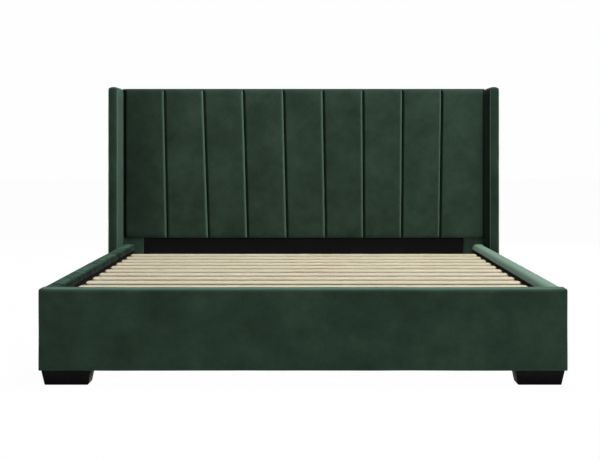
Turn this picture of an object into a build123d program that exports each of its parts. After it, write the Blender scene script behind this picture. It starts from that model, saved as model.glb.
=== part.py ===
from build123d import *
import math
import os

# Wingback bed, in millimetres.
# X runs across the bed, +Y towards the headboard, +Z up.
# The origin is on the floor, under the middle of the whole bed.

# Mattress, and the well that takes it
mattress_width = 1800
mattress_length = 2000
mattress_side_gap = 2
mattress_end_gap = 10

# Heights above the floor
foot_height = 55
slat_top = 320
rail_top = 355
velvet_band_edge = 388
headboard_top = 1186

# Side rails
rail_board_thickness = 25
rail_outer_foam = 29
rail_top_foam = 20
rail_outer_round = 28
rail_inner_round = 16
inner_wrap = 6
inner_wrap_drop = 30
bottom_wrap = 3
lining_thickness = 2

# Footboard
footboard_board_thickness = 22
footboard_foam = 32
footboard_top_foam = 20
footboard_overhang = 3
footboard_end_foam = 14
footboard_corner_round = 10
footboard_front_round = 9

# Headboard
channel_backing = 18.5
channel_depth = 16
channel_shoulder = 24
channel_crown = 3
channel_end_roll = 16
facing_thickness = 9
frame_depth = 45
back_lining_thickness = 1.5
post_width = 110
top_rail_height = 70
middle_rail_height = 70
bottom_rail_height = 90
strut_width = 70
margin_setback = 10
border_height = 7
border_setback = 12
border_round = 4

# Wings
wing_gap = 8
wing_foam = 12
wing_board_thickness = 24
wing_projection = 175
wing_back_wrap = 3
wing_crown = 7
wing_edge_round = 6
wing_board_corner_round = 10

# Slats and their ledges
slat_count = 11
slat_width = 70
slat_thickness = 20
slat_end_gap = 12
slat_edge_bevel = 2
first_slat_offset = 140
last_slat_offset = 204
ledge_width = 40
ledge_height = 34

# Centre beam and its hangers
beam_width = 38
beam_height = 75
beam_end_gap = 1
hanger_plate = 3
hanger_reach = 50
hanger_height = 55
hanger_flange = 12
hanger_gap = 0.3

# Centre legs and their levelling glides
leg_width = 36
leg_wall = 2
leg_plate_length = 80
leg_plate_width = 60
leg_plate_thickness = 4
leg_plate_corner = 8
insert_flange = 3
insert_depth = 24
insert_gap = 0.1
glide_radius = 22
glide_height = 10
glide_stem_radius = 5
glide_running_gap = 0.05
glide_travel_up = 15
glide_travel_down = 10
glide_stop_gap = 2
glide_thread_left = 4

# Feet and corner blocks
foot_width = 181
foot_depth = 110
foot_inset = 8
foot_taper = 10.5
foot_side_bevel = 4
foot_bottom_bevel = 2.5
block_length = 100
block_depth = 60
block_height = 70

# Corner brackets
bracket_plate = 4
bracket_rail_leg = 60
bracket_end_leg = 45
bracket_height = 120
bracket_gap = 10
bracket_bend = 3
bracket_corner_bevel = 6

# Bolts, T-nuts and screws
bolt_radius = 4
bolt_head_width = 13
bolt_head_height = 5.5
bolt_end_gap = 1.5
hole_gap = 0.3
nut_flange_radius = 11
nut_flange_thickness = 1.5
nut_barrel_radius = 5.5
nut_barrel_length = 9
foot_bolt_spacing = 40
foot_bolt_reach = 35
screw_radius = 2.5
screw_head_radius = 4.5
screw_head_height = 3
screw_length = 45
screw_tip = 5
screw_tip_radius = 0.3
screw_inset = 12
cut_overrun = 5
# Flat sides that stand for a round on the bolts, T-nuts and screws, and in the holes for them
bolt_sides = 8
screw_sides = 6

# Places given as shares of the piece that they lie on
bracket_hole_shares = (0.2, 0.8)
wing_bolt_shares = (0.12, 0.45, 0.85)
middle_rail_share = 0.52
leg_place_shares = (0.2, 0.5, 0.8)

# Seams between the nine channels, as shares of the half width of the headboard
seam_top_shares = (-1, -0.773, -0.556, -0.336, -0.114, 0.104, 0.324, 0.544, 0.76, 1)
seam_bottom_shares = (-1, -0.756, -0.528, -0.312, -0.095, 0.118, 0.328, 0.538, 0.749, 1)
# Sections through the rolled end of a channel: how far in they lie, and how full the channel is there
roll_place_shares = (0, 0.3, 1)
roll_fullness_shares = (0.35, 0.78, 1)

# Planes across the bed, on the +X side
well_side = mattress_width / 2 + mattress_side_gap
rail_board_inner = well_side + inner_wrap
rail_board_outer = rail_board_inner + rail_board_thickness
rail_outer = rail_board_outer + rail_outer_foam
rail_lining_face = rail_board_inner - lining_thickness
footboard_end = rail_outer + footboard_overhang
wing_inner = rail_outer + wing_gap
wing_board_inner = wing_inner + wing_foam
wing_board_outer = wing_board_inner + wing_board_thickness
wing_outer = wing_board_outer + wing_foam
post_inner = wing_inner - post_width
slat_end = well_side - slat_end_gap

# Planes along the bed
well_length = mattress_length + mattress_end_gap
pad_depth = channel_backing + channel_depth
footboard_thickness = footboard_foam + footboard_board_thickness + inner_wrap
headboard_thickness = pad_depth + facing_thickness + frame_depth + back_lining_thickness
bed_length = footboard_thickness + well_length + headboard_thickness
bed_front = -bed_length / 2
bed_back = bed_length / 2
well_front = bed_front + footboard_thickness
footboard_board_front = bed_front + footboard_foam
footboard_board_back = well_front - inner_wrap
footboard_lining_face = footboard_board_back + lining_thickness
crest = well_front + well_length
margin_face = crest + margin_setback
facing_front = crest + pad_depth
lower_lining_face = facing_front - lining_thickness
frame_front = facing_front + facing_thickness
frame_back = frame_front + frame_depth
frame_middle = (frame_front + frame_back) / 2
wing_front = crest - wing_projection
wing_board_back = bed_back - wing_back_wrap
slat_run = well_length - first_slat_offset - last_slat_offset - slat_width
slat_pitch = slat_run / (slat_count - 1)
first_slat_middle = well_front + first_slat_offset + slat_width / 2
slat_middles = [first_slat_middle + slat_pitch * number for number in range(slat_count)]

# Levels
channel_top = headboard_top - border_height
slat_bottom = slat_top - slat_thickness
beam_bottom = slat_bottom - beam_height
board_bottom = foot_height + bottom_wrap
rail_board_top = rail_top - rail_top_foam
wrap_edge = rail_top - inner_wrap_drop
wing_side_top = headboard_top - wing_crown
wing_board_top = wing_side_top - wing_foam
bracket_bottom = foot_height + block_height + bracket_gap
bracket_levels = [bracket_bottom + bracket_height * share for share in bracket_hole_shares]
middle_rail_bottom = foot_height + (channel_top - foot_height) * middle_rail_share
wing_levels = [foot_height + (channel_top - foot_height) * share for share in wing_bolt_shares]
insert_bottom = glide_height + glide_travel_up + glide_stop_gap
tube_bottom = insert_bottom + insert_flange
glide_top = tube_bottom + insert_depth + glide_travel_down + glide_thread_left

# Lines of the fasteners
hole_radius = bolt_radius + hole_gap
end_bolt_x = rail_lining_face - (bracket_plate + bracket_end_leg) / 2
rail_bolt_offset = (bracket_plate + bracket_rail_leg) / 2
rail_bolt_lines = (well_front + rail_bolt_offset, margin_face - rail_bolt_offset)
short_bolt_length = bracket_plate + lining_thickness + rail_board_thickness - bolt_end_gap
long_bolt_length = bracket_plate + frame_back - margin_face - bolt_end_gap
wing_bolt_length = wing_board_outer - post_inner - bolt_end_gap
screw_x = slat_end - screw_inset
block_middle_x = rail_lining_face - block_length / 2
block_middle_y = well_front + block_depth / 2
post_middle_x = (post_inner + wing_inner) / 2
foot_bolt_steps = (-foot_bolt_spacing / 2, foot_bolt_spacing / 2)
front_foot_bolts = [(block_middle_x + step, block_middle_y) for step in foot_bolt_steps]
rear_foot_bolts = [(post_middle_x + step, frame_middle) for step in foot_bolt_steps]

# Directions
right = (1, 0, 0)
left = (-1, 0, 0)
headwards = (0, 1, 0)
footwards = (0, -1, 0)
up = (0, 0, 1)
down = (0, 0, -1)
standing = (Align.CENTER, Align.CENTER, Align.MIN)


def block(x_low, x_high, y_low, y_high, z_low, z_high):
    """Plain block between two corners."""
    low = (Align.MIN, Align.MIN, Align.MIN)
    return Pos(x_low, y_low, z_low) * Box(x_high - x_low, y_high - y_low, z_high - z_low, align=low)


def aimed(shape, place, direction):
    """Turns a shape's +Z to the direction given and sets its origin at the place."""
    return Location(Plane(origin=place, z_dir=direction)) * shape


def slim_bar(radius, length, sides=bolt_sides):
    """Upright bar on the origin, as slim as a bolt or its hole, with a few flat sides."""
    return extrude(RegularPolygon(radius, sides), amount=length)


def through_hole(radius, length, place, direction):
    """Slim cutter that runs past both ends of its length."""
    cutter = Pos(0, 0, -cut_overrun) * slim_bar(radius, length + 2 * cut_overrun)
    return aimed(cutter, place, direction)


def blind_hole(radius, depth, place, direction, sides=bolt_sides):
    """Slim cutter that runs past its place but stops at its depth."""
    cutter = Pos(0, 0, -cut_overrun) * slim_bar(radius, depth + cut_overrun, sides)
    return aimed(cutter, place, direction)


def nut_seat(place, direction):
    """Cutter for a T-nut: a shallow seat for its flange and a hole for its barrel."""
    flange = blind_hole(nut_flange_radius + hole_gap, nut_flange_thickness, place, direction)
    return flange + blind_hole(nut_barrel_radius + hole_gap, nut_barrel_length, place, direction)


def on_left(shape):
    """The same piece for the -X side."""
    return mirror(shape, about=Plane.YZ)


def both_sides(shapes):
    """Separate solids on the +X side and their twins on the -X side, for one node."""
    return Compound(shapes + [on_left(shape) for shape in shapes])


# Headboard frame and boards

def headboard_post():
    """Upright of the frame, bored for bracket, wing and foot bolts."""
    post = block(post_inner, wing_inner, frame_front, frame_back, foot_height, channel_top)
    for level in bracket_levels:
        post -= through_hole(hole_radius, frame_depth, (end_bolt_x, frame_front, level), headwards)
        post -= nut_seat((end_bolt_x, frame_back, level), footwards)
    for level in wing_levels:
        post -= through_hole(hole_radius, post_width, (post_inner, frame_middle, level), right)
    for x, y in rear_foot_bolts:
        post -= blind_hole(hole_radius, foot_bolt_reach, (x, y, foot_height), up)
    return post


def frame_rail(bottom, height):
    """Rail between the two posts."""
    return block(-post_inner, post_inner, frame_front, frame_back, bottom, bottom + height)


def halving_space(y_low, y_high):
    """Half the depth of the frame, where the centre strut crosses the middle rail."""
    top = middle_rail_bottom + middle_rail_height
    return block(-strut_width / 2, strut_width / 2, y_low, y_high, middle_rail_bottom, top)


def centre_strut():
    """Upright between bottom and top rail, halved over the middle rail."""
    bottom = foot_height + bottom_rail_height
    top = channel_top - top_rail_height
    strut = block(-strut_width / 2, strut_width / 2, frame_front, frame_back, bottom, top)
    return strut - halving_space(frame_middle, frame_back)


def panel_sheet(y_low, y_high):
    """Sheet over the whole frame."""
    return block(-wing_inner, wing_inner, y_low, y_high, foot_height, channel_top)


def facing_board():
    """Board that carries the stuffed channels."""
    board = panel_sheet(facing_front, frame_front)
    for x in (-end_bolt_x, end_bolt_x):
        for level in bracket_levels:
            board -= through_hole(hole_radius, facing_thickness, (x, facing_front, level), headwards)
    return board


def headboard_margin():
    """Padded velvet strip beside the black band, where a side rail ends."""
    margin = block(post_inner, wing_inner, margin_face, facing_front, foot_height, velvet_band_edge)
    for level in bracket_levels:
        margin -= through_hole(hole_radius, facing_front - margin_face,
                               (end_bolt_x, margin_face, level), headwards)
    return margin


def channel_section(height_share, level, fullness):
    """Outline of the stuffed channels at one level, with a sharp valley at each seam."""
    valley = facing_front - channel_backing
    crown = channel_crown * fullness
    shoulder = valley - (channel_depth - channel_crown) * fullness
    bend = math.sqrt(1 / 2)
    rise = valley + (shoulder - valley) * bend
    run = channel_shoulder * (1 - bend)
    seams = []
    for bottom, top in zip(seam_bottom_shares, seam_top_shares):
        seams.append(wing_inner * (bottom + (top - bottom) * height_share))
    edges = []
    for start, end in zip(seams, seams[1:]):
        near = (start + channel_shoulder, shoulder)
        far = (end - channel_shoulder, shoulder)
        edges.append(ThreePointArc((start, valley), (start + run, rise), near))
        edges.append(ThreePointArc(near, ((start + end) / 2, shoulder - crown), far))
        edges.append(ThreePointArc(far, (end - run, rise), (end, valley)))
    corners = [(wing_inner, valley), (wing_inner, facing_front), (-wing_inner, facing_front),
               (-wing_inner, valley)]
    for start, end in zip(corners, corners[1:]):
        edges.append(Line(start, end))
    return Pos(0, 0, level) * make_face(Wire(edges))


def channel_pad():
    """Nine stuffed channels that lean a little, rolled in at the top and the bottom."""
    height = channel_top - velvet_band_edge
    roll = list(zip(roll_place_shares, roll_fullness_shares))
    stations = [(channel_end_roll * place, fullness) for place, fullness in roll]
    stations += [(height - channel_end_roll * place, fullness) for place, fullness in reversed(roll)]
    sections = []
    for rise, fullness in stations:
        sections.append(channel_section(rise / height, velvet_band_edge + rise, fullness))
    return loft(sections, ruled=True)


def top_border():
    """Velvet strip that closes the top edge of the headboard."""
    border = block(-wing_inner, wing_inner, crest + border_setback, bed_back, channel_top, headboard_top)
    return fillet(border.edges().filter_by(Axis.X).group_by(Axis.Z)[-1], border_round)


# Wings

def wing_board():
    """Board inside a wing, bored for the bolts that pull it to the headboard."""
    board = block(wing_board_inner, wing_board_outer, wing_front + wing_foam, wing_board_back,
                  foot_height, wing_board_top)
    front_top = board.edges().filter_by(Axis.X).group_by(Axis.Z)[-1].sort_by(Axis.Y)[0]
    board = fillet(front_top, wing_board_corner_round)
    for level in wing_levels:
        board -= through_hole(hole_radius, wing_board_thickness,
                              (wing_board_inner, frame_middle, level), right)
        board -= nut_seat((wing_board_outer, frame_middle, level), left)
    return board


def wing_cover():
    """Foam and velvet round a wing board: a slim upright slab with a crowned top."""
    crown_top = ((wing_inner + wing_outer) / 2, headboard_top)
    outline = Wire([
        Line((wing_inner, foot_height), (wing_outer, foot_height)),
        Line((wing_outer, foot_height), (wing_outer, wing_side_top)),
        ThreePointArc((wing_outer, wing_side_top), crown_top, (wing_inner, wing_side_top)),
        Line((wing_inner, wing_side_top), (wing_inner, foot_height)),
    ])
    face = Plane.XZ.offset(-wing_front) * make_face(outline)
    cover = extrude(face, amount=bed_back - wing_front, dir=headwards)
    front = cover.faces().sort_by(Axis.Y)[0]
    cover = fillet(front.edges().sort_by(Axis.Z)[1:], wing_edge_round)
    cover -= block(wing_board_inner, wing_board_outer, wing_front + wing_foam, wing_board_back,
                   foot_height - cut_overrun, wing_board_top)
    for level in wing_levels:
        cover -= through_hole(hole_radius, wing_foam, (wing_inner, frame_middle, level), right)
    return cover


# Side rails

def rail_board():
    """Board inside a side rail, bored for the bolts of its two corner brackets."""
    board = block(rail_board_inner, rail_board_outer, well_front, margin_face, board_bottom, rail_board_top)
    for y in rail_bolt_lines:
        for level in bracket_levels:
            board -= through_hole(hole_radius, rail_board_thickness, (rail_board_inner, y, level), right)
            board -= nut_seat((rail_board_outer, y, level), left)
    return board


def rail_cover():
    """Foam and velvet round a rail board, folded over its top and under its bottom edge."""
    bend = 1 - math.sqrt(1 / 2)
    outer_start = (rail_outer, rail_top - rail_outer_round)
    outer_middle = (rail_outer - rail_outer_round * bend, rail_top - rail_outer_round * bend)
    outer_end = (rail_outer - rail_outer_round, rail_top)
    inner_start = (well_side + rail_inner_round, rail_top)
    inner_middle = (well_side + rail_inner_round * bend, rail_top - rail_inner_round * bend)
    inner_end = (well_side, rail_top - rail_inner_round)
    outline = Wire([
        Line((rail_board_inner, foot_height), (rail_outer, foot_height)),
        Line((rail_outer, foot_height), outer_start),
        ThreePointArc(outer_start, outer_middle, outer_end),
        Line(outer_end, inner_start),
        ThreePointArc(inner_start, inner_middle, inner_end),
        Line(inner_end, (well_side, wrap_edge)),
        Line((well_side, wrap_edge), (rail_board_inner, wrap_edge)),
        Line((rail_board_inner, wrap_edge), (rail_board_inner, foot_height)),
    ])
    face = Plane.XZ.offset(-well_front) * make_face(outline)
    cover = extrude(face, amount=margin_face - well_front, dir=headwards)
    return cover - block(rail_board_inner, rail_board_outer, well_front - cut_overrun,
                         margin_face + cut_overrun, board_bottom, rail_board_top)


def rail_lining():
    """Black cloth over the inner side of a rail board, below the velvet."""
    lining = block(rail_lining_face, rail_board_inner, well_front, margin_face, foot_height, wrap_edge)
    for y in rail_bolt_lines:
        for level in bracket_levels:
            lining -= through_hole(hole_radius, lining_thickness, (rail_lining_face, y, level), right)
    return lining


def slat_ledge():
    """Batten that carries the slats' ends, with a pilot hole for each slat's screw."""
    ledge = block(rail_lining_face - ledge_width, rail_lining_face, well_front, margin_face,
                  slat_bottom - ledge_height, slat_bottom)
    for y in slat_middles:
        ledge -= blind_hole(screw_radius + hole_gap, screw_length + hole_gap - slat_thickness,
                            (screw_x, y, slat_bottom), down, screw_sides)
    return ledge


# Footboard

def footboard_board():
    """Board inside the footboard, bored for the bolts of the two front brackets."""
    side = footboard_end - footboard_end_foam
    board = block(-side, side, footboard_board_front, footboard_board_back, board_bottom,
                  rail_top - footboard_top_foam)
    for x in (-end_bolt_x, end_bolt_x):
        for level in bracket_levels:
            board -= through_hole(hole_radius, footboard_board_thickness,
                                  (x, footboard_board_front, level), headwards)
            board -= nut_seat((x, footboard_board_front, level), headwards)
    return board


def footboard_cover():
    """Foam and velvet round the footboard, with rounded corners and a soft front edge."""
    cover = block(-footboard_end, footboard_end, bed_front, well_front, foot_height, rail_top)
    cover = fillet(cover.edges().filter_by(Axis.Y).group_by(Axis.Z)[-1], footboard_corner_round)
    cover = fillet(cover.faces().sort_by(Axis.Y)[0].edges().sort_by(Axis.Z)[1:], footboard_front_round)
    side = footboard_end - footboard_end_foam
    cover -= block(-side, side, footboard_board_front, footboard_board_back, board_bottom,
                   rail_top - footboard_top_foam)
    cover -= block(-post_inner, post_inner, footboard_board_back, well_front + cut_overrun,
                   foot_height - cut_overrun, wrap_edge)
    for x in (-end_bolt_x, end_bolt_x):
        for level in bracket_levels:
            cover -= through_hole(hole_radius, inner_wrap, (x, footboard_board_back, level), headwards)
    return cover


def footboard_lining():
    """Black cloth over the inner side of the footboard, between the two velvet margins."""
    return block(-post_inner, post_inner, footboard_board_back, footboard_lining_face, foot_height, wrap_edge)


# Slats and centre beam

def countersunk_bar(radius, head_radius, length):
    """Bar with a countersunk head that lies on the origin, pointing up."""
    head = RegularPolygon(head_radius, screw_sides)
    neck = Pos(0, 0, screw_head_height) * RegularPolygon(radius, screw_sides)
    return loft([head, neck], ruled=True) + extrude(neck, amount=length - screw_head_height, dir=up)


def slat(middle):
    """Pine slat with eased edges, countersunk at each end."""
    bar = block(-slat_end, slat_end, middle - slat_width / 2, middle + slat_width / 2, slat_bottom, slat_top)
    bar = chamfer(bar.edges().filter_by(Axis.X), slat_edge_bevel)
    cutter = countersunk_bar(screw_radius + hole_gap, screw_head_radius + hole_gap, screw_length)
    cutter = aimed(cutter, (screw_x, middle, slat_top), down)
    return bar - cutter - on_left(cutter)


def centre_beam():
    """Beam on edge under the middle of the slats."""
    return block(-beam_width / 2, beam_width / 2, footboard_lining_face + hanger_plate + beam_end_gap,
                 lower_lining_face - hanger_plate - beam_end_gap, beam_bottom, slat_bottom)


def beam_hanger(face, direction):
    """Steel shoe for one end of the beam: back plate, floor and two cheeks."""
    inner = beam_width / 2 + hanger_gap
    outer = inner + hanger_plate
    low = beam_bottom - hanger_plate
    shoe = block(-outer, outer, 0, hanger_reach, low, low + hanger_height)
    shoe -= block(-inner, inner, hanger_plate, hanger_reach + cut_overrun, beam_bottom,
                  low + hanger_height + cut_overrun)
    shoe += block(-outer - hanger_flange, outer + hanger_flange, 0, hanger_plate, low, low + hanger_height)
    if direction == footwards:
        shoe = mirror(shoe, about=Plane.XZ)
    return Pos(0, face, 0) * shoe


def centre_leg(y):
    """Square steel tube with a welded top plate."""
    height = beam_bottom - leg_plate_thickness - tube_bottom
    hollow = leg_width - 2 * leg_wall
    tube = Box(leg_width, leg_width, height, align=standing) - Box(hollow, hollow, height, align=standing)
    plate = Box(leg_plate_width, leg_plate_length, leg_plate_thickness, align=standing)
    plate = chamfer(plate.edges().filter_by(Axis.Z), leg_plate_corner)
    return Pos(0, y, tube_bottom) * tube + Pos(0, y, beam_bottom - leg_plate_thickness) * plate


def glide_insert(y):
    """Plastic plug in the bottom of a leg, with a flange under the tube and a bore for the glide."""
    plug_width = leg_width - 2 * (leg_wall + insert_gap)
    plug_height = insert_flange + insert_depth
    plug = Box(plug_width, plug_width, plug_height, align=standing)
    plug += Box(leg_width, leg_width, insert_flange, align=standing)
    plug -= Cylinder(glide_stem_radius + glide_running_gap, plug_height, align=standing)
    return Pos(0, y, insert_bottom) * plug


def levelling_glide(y):
    """Round foot on a threaded stem that screws up and down in its leg."""
    foot = Cylinder(glide_radius, glide_height, align=standing)
    stem = Pos(0, 0, glide_height) * Cylinder(glide_stem_radius, glide_top - glide_height, align=standing)
    return Pos(0, y, 0) * (foot + stem)


# Feet and corner blocks

def tapered_slab(width, depth):
    """Slab as high as a foot that narrows across its width towards the floor."""
    low = width / 2 - foot_taper
    outline = Wire.make_polygon([(-low, 0), (low, 0), (width / 2, foot_height), (-width / 2, foot_height)])
    return extrude(Plane.XZ * make_face(outline), amount=depth / 2, both=True)


def foot(middle_x, middle_y, bolts):
    """Tapered block foot, bored from above for its two bolts."""
    quarter_turn = 90
    shape = tapered_slab(foot_width, foot_depth) & Rot(0, 0, quarter_turn) * tapered_slab(foot_depth, foot_width)
    shape = chamfer(shape.edges().group_by(Axis.Z)[1], foot_side_bevel)
    shape = chamfer(shape.edges().group_by(Axis.Z)[0], foot_bottom_bevel)
    shape = Pos(middle_x, middle_y, 0) * shape
    for x, y in bolts:
        shape -= blind_hole(hole_radius, foot_bolt_reach, (x, y, foot_height), down)
    return shape


def front_foot():
    return foot(footboard_end - foot_inset - foot_width / 2, bed_front + foot_inset + foot_depth / 2,
                front_foot_bolts)


def rear_foot():
    return foot(wing_outer - foot_inset - foot_width / 2, bed_back - foot_inset - foot_depth / 2,
                rear_foot_bolts)


def corner_block():
    """Pine block in the corner over a front foot."""
    shape = block(rail_lining_face - block_length, rail_lining_face, well_front, well_front + block_depth,
                  foot_height, foot_height + block_height)
    for x, y in front_foot_bolts:
        shape -= blind_hole(hole_radius, foot_bolt_reach, (x, y, foot_height), up)
    return shape


# Brackets and fasteners

def corner_bracket(corner_y, direction):
    """Bent steel plate in the corner of a side rail and the footboard or headboard."""
    reach = bracket_rail_leg
    plate = block(-bracket_plate, 0, 0, reach, bracket_bottom, bracket_bottom + bracket_height)
    plate += block(-bracket_end_leg, 0, 0, bracket_plate, bracket_bottom, bracket_bottom + bracket_height)
    upright = plate.edges().filter_by(Axis.Z)
    plate = chamfer(upright.sort_by_distance((-bracket_plate, bracket_plate, bracket_bottom))[0], bracket_bend)
    tips = plate.edges().filter_by(Axis.X).group_by(Axis.Y)[-1]
    plate = chamfer(tips, bracket_corner_bevel)
    tips = plate.edges().filter_by(Axis.Y).group_by(Axis.X)[0]
    plate = chamfer(tips, bracket_corner_bevel)
    for level in bracket_levels:
        plate -= through_hole(hole_radius, bracket_plate, (-bracket_plate, rail_bolt_offset, level), right)
        plate -= through_hole(hole_radius, bracket_plate,
                              (end_bolt_x - rail_lining_face, 0, level), headwards)
    if direction == footwards:
        plate = mirror(plate, about=Plane.XZ)
    return Pos(rail_lining_face, corner_y, 0) * plate


def bolt(length):
    """Hexagon bolt whose head seats on the origin and whose shank points up."""
    hexagon = RegularPolygon(bolt_head_width / 2, side_count=6, major_radius=False)
    return extrude(hexagon, amount=-bolt_head_height) + slim_bar(bolt_radius, length)


def t_nut():
    """Flanged nut whose flange lies on the origin and whose barrel points up."""
    nut = slim_bar(nut_flange_radius, nut_flange_thickness) + slim_bar(nut_barrel_radius, nut_barrel_length)
    return nut - through_hole(hole_radius, nut_barrel_length, (0, 0, 0), up)


def short_bolts():
    """Bolts through the brackets into the rail boards and the footboard."""
    piece = bolt(short_bolt_length)
    bolts = []
    for level in bracket_levels:
        for y in rail_bolt_lines:
            bolts.append(aimed(piece, (rail_lining_face - bracket_plate, y, level), right))
        bolts.append(aimed(piece, (end_bolt_x, well_front + bracket_plate, level), footwards))
    return both_sides(bolts)


def long_bolts():
    """Bolts through the rear brackets into the headboard posts."""
    piece = bolt(long_bolt_length)
    place_y = margin_face - bracket_plate
    return both_sides([aimed(piece, (end_bolt_x, place_y, level), headwards) for level in bracket_levels])


def wing_bolts():
    """Bolts through the posts into the wing boards."""
    piece = bolt(wing_bolt_length)
    return both_sides([aimed(piece, (post_inner, frame_middle, level), right) for level in wing_levels])


def t_nuts():
    """One T-nut at the far end of each bolt."""
    piece = t_nut()
    nuts = []
    for level in bracket_levels:
        for y in rail_bolt_lines:
            nuts.append(aimed(piece, (rail_board_outer, y, level), left))
        nuts.append(aimed(piece, (end_bolt_x, footboard_board_front, level), headwards))
        nuts.append(aimed(piece, (end_bolt_x, frame_back, level), footwards))
    for level in wing_levels:
        nuts.append(aimed(piece, (wing_board_outer, frame_middle, level), left))
    return both_sides(nuts)


def foot_bolts():
    """Headless bolts, half in a foot and half in the block or post above it."""
    bar = Pos(0, 0, -foot_bolt_reach) * slim_bar(bolt_radius, 2 * foot_bolt_reach)
    places = front_foot_bolts + rear_foot_bolts
    return both_sides([Pos(x, y, foot_height) * bar for x, y in places])


def slat_screws():
    """Countersunk screws, one through each end of each slat into the ledge."""
    screw = countersunk_bar(screw_radius, screw_head_radius, screw_length - screw_tip)
    tip_base = Pos(0, 0, screw_length - screw_tip) * RegularPolygon(screw_radius, screw_sides)
    tip_end = Pos(0, 0, screw_length) * RegularPolygon(screw_tip_radius, screw_sides)
    screw += loft([tip_base, tip_end], ruled=True)
    return both_sides([aimed(screw, (screw_x, y, slat_top), down) for y in slat_middles])


def all_pieces():
    """Every piece of the bed by its name."""
    pieces = {
        "headboard_post_right": headboard_post(),
        "headboard_top_rail": frame_rail(channel_top - top_rail_height, top_rail_height),
        "headboard_middle_rail": frame_rail(middle_rail_bottom, middle_rail_height)
        - halving_space(frame_front, frame_middle),
        "headboard_bottom_rail": frame_rail(foot_height, bottom_rail_height),
        "headboard_centre_strut": centre_strut(),
        "headboard_facing_board": facing_board(),
        "headboard_back_lining": panel_sheet(frame_back, bed_back),
        "headboard_lower_lining": block(-post_inner, post_inner, lower_lining_face, facing_front,
                                        foot_height, velvet_band_edge),
        "headboard_margin_right": headboard_margin(),
        "headboard_channel_pad": channel_pad(),
        "headboard_top_border": top_border(),
        "wing_board_right": wing_board(),
        "wing_cover_right": wing_cover(),
        "rail_board_right": rail_board(),
        "rail_cover_right": rail_cover(),
        "rail_lining_right": rail_lining(),
        "slat_ledge_right": slat_ledge(),
        "footboard_board": footboard_board(),
        "footboard_cover": footboard_cover(),
        "footboard_lining": footboard_lining(),
        "centre_beam": centre_beam(),
        "beam_hangers": Compound([beam_hanger(footboard_lining_face, headwards),
                                  beam_hanger(lower_lining_face, footwards)]),
        "front_foot_right": front_foot(),
        "rear_foot_right": rear_foot(),
        "corner_blocks": both_sides([corner_block()]),
        "corner_brackets": both_sides([corner_bracket(well_front, headwards),
                                       corner_bracket(margin_face, footwards)]),
        "short_bolts": short_bolts(),
        "long_bolts": long_bolts(),
        "wing_bolts": wing_bolts(),
        "t_nuts": t_nuts(),
        "foot_bolts": foot_bolts(),
        "slat_screws": slat_screws(),
    }
    for name in [name for name in pieces if name.endswith("_right")]:
        pieces[name.replace("_right", "_left")] = on_left(pieces[name])
    for number, middle in enumerate(slat_middles, start=1):
        pieces[f"slat_{number:02d}"] = slat(middle)
    leg_middles = [well_front + well_length * share for share in leg_place_shares]
    for place, middle in zip(("front", "middle", "rear"), leg_middles):
        pieces[f"centre_leg_{place}"] = centre_leg(middle)
        pieces[f"levelling_glide_{place}"] = levelling_glide(middle)
    pieces["glide_inserts"] = Compound([glide_insert(middle) for middle in leg_middles])
    return pieces


os.makedirs("parts", exist_ok=True)
for name, piece in all_pieces().items():
    export_step(piece, f"parts/{name}.step")
    volume = sum(solid.volume for solid in piece.solids())
    print(f"{name}: {len(piece.solids())} solid(s), {volume:.0f} mm3")
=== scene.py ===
# %% [markdown]
# A wingback bed for a 1800 x 2000 mm mattress, dressed in dark green velvet.
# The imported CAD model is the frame: every wooden and steel piece comes from it, at its real size and place.
# This lesson adds what the frame can't show: stuffed velvet, cloth, planed pine, lacquer and light.

# %% Load the frame
import math

import bmesh
import bpy
from mathutils import Matrix, Vector, noise


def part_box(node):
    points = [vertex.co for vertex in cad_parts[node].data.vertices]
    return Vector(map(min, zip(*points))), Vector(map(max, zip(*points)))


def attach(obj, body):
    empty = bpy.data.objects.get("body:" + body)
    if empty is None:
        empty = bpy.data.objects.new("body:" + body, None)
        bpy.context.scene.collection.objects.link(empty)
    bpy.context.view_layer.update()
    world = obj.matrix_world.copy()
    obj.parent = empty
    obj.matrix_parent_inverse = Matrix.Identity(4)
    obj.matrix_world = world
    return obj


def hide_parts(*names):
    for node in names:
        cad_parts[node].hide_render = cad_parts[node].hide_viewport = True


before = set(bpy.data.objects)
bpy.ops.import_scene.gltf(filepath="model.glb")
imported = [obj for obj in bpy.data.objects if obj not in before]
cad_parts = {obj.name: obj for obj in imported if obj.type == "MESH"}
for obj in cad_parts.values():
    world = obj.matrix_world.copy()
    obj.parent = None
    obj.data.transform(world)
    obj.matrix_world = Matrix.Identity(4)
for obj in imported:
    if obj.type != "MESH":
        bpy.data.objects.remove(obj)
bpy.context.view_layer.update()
mm = 0.001

# %% [markdown]
# The photograph looks level along the middle of the bed from beyond its foot end. The camera isn't tilted,
# so that upright edges stay upright, and its sensor is shifted down to frame the bed.

# %% Camera
camera_data = bpy.data.cameras.new("camera")
camera_data.lens = 72.7
camera_data.sensor_width = 36
camera_data.shift_x = -0.0087
camera_data.shift_y = -0.134
camera = bpy.data.objects.new("camera", camera_data)
camera.location = (0.008, -5.494, 0.863)
camera.rotation_euler = (math.radians(90), 0, 0)
bpy.context.scene.collection.objects.link(camera)
bpy.context.scene.camera = camera
print("camera stands", round(-camera.location.y, 2), "m in front of the middle of the bed")
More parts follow.
